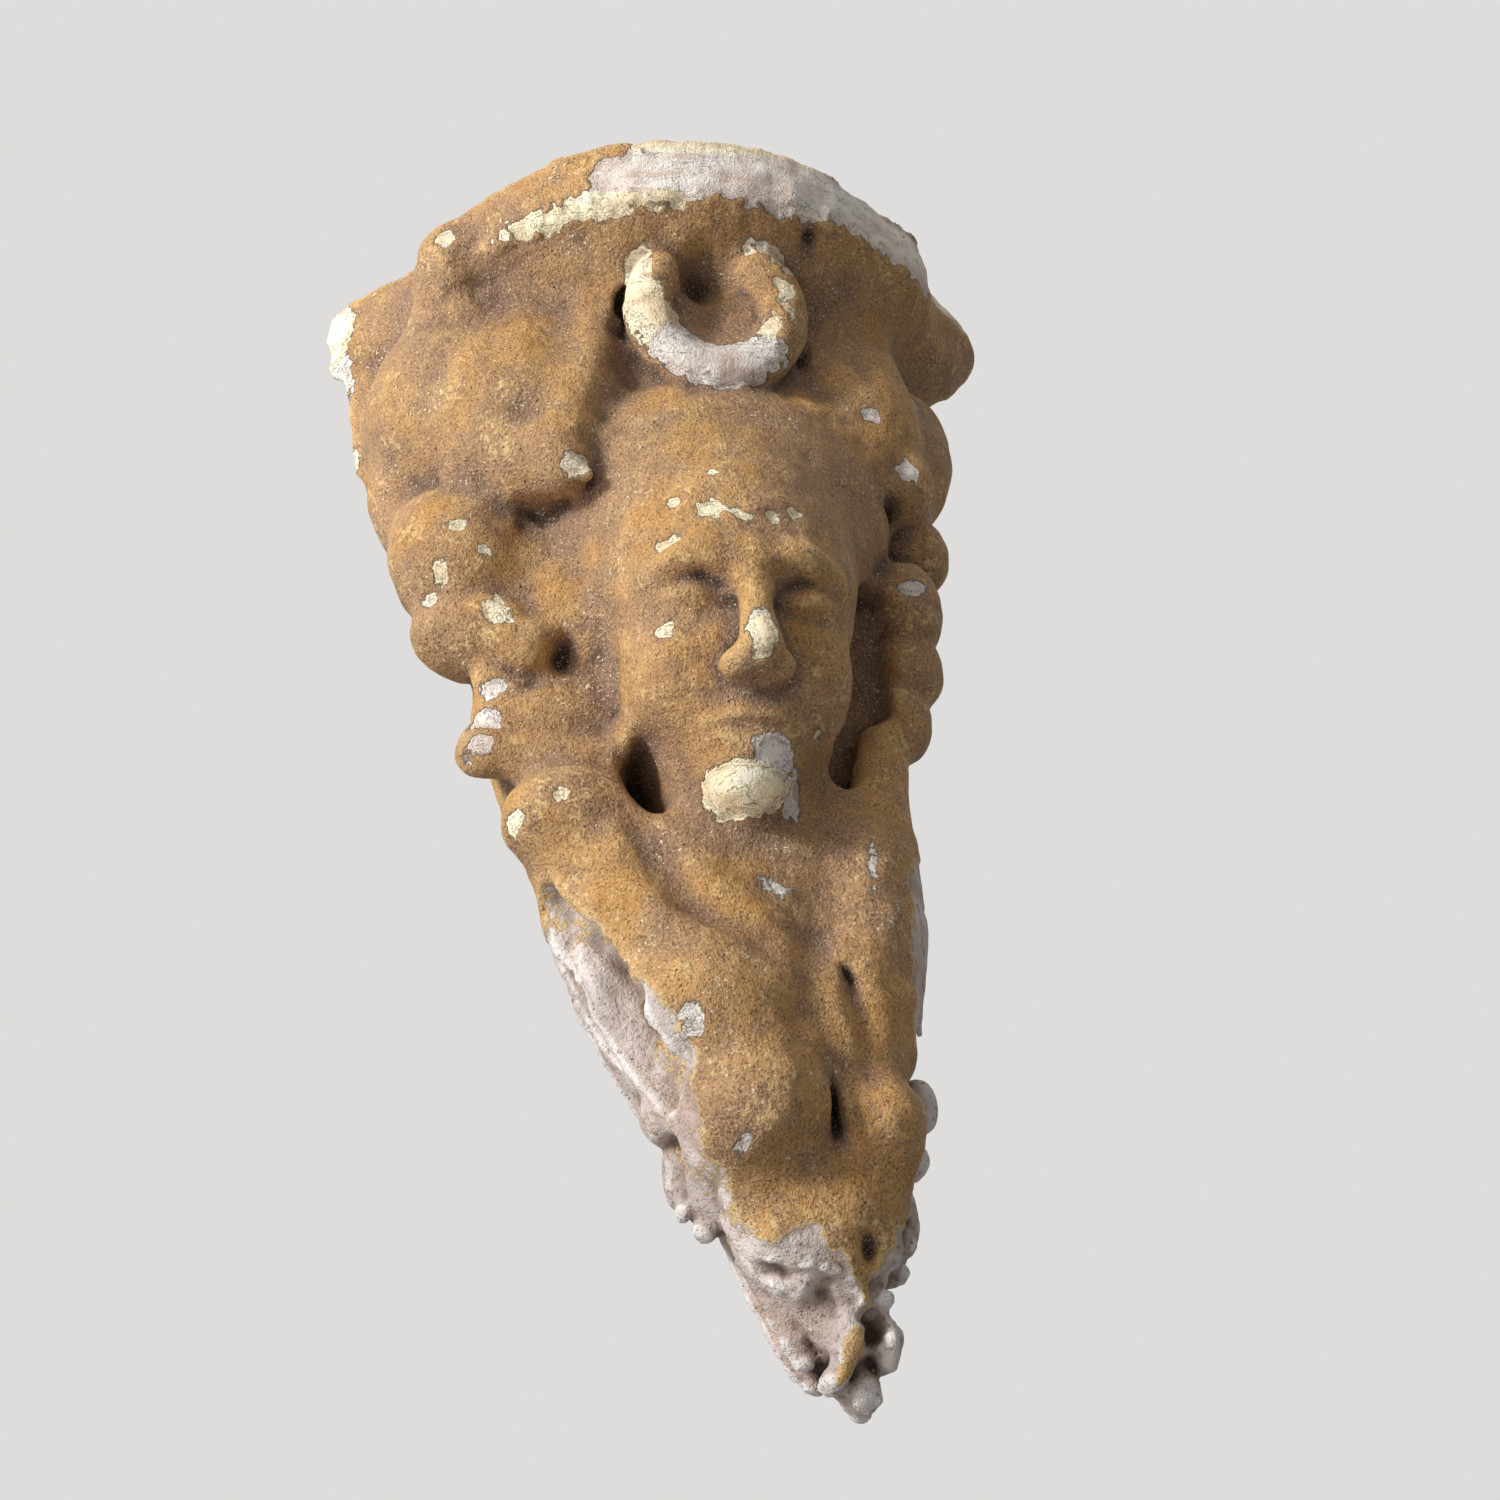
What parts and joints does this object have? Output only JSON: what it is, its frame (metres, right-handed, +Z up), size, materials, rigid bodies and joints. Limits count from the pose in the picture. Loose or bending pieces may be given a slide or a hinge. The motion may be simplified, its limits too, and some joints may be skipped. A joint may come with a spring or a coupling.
{
  "type": "stone corbel",
  "caption": "Wall corbel with a serpentine shelf over a carved head, rolled locks, a draped breast and a tapering tail, thickly overpainted.",
  "frame": {"origin": "on the flat back that lies on the wall, on the corbel's upright axis, 230 mm below the top of the shelf", "axes": "+Z up, +Y out of the back towards the wall, +X along the wall to the right of someone facing the corbel"},
  "size_m": [0.3528, 0.131, 0.56],
  "materials": {
    "stone": "thick sandy ochre coat over pale stone, chipped in layers"
  },
  "bodies": {
    "root": {"corbel": "stone"}
  },
  "joints": []
}
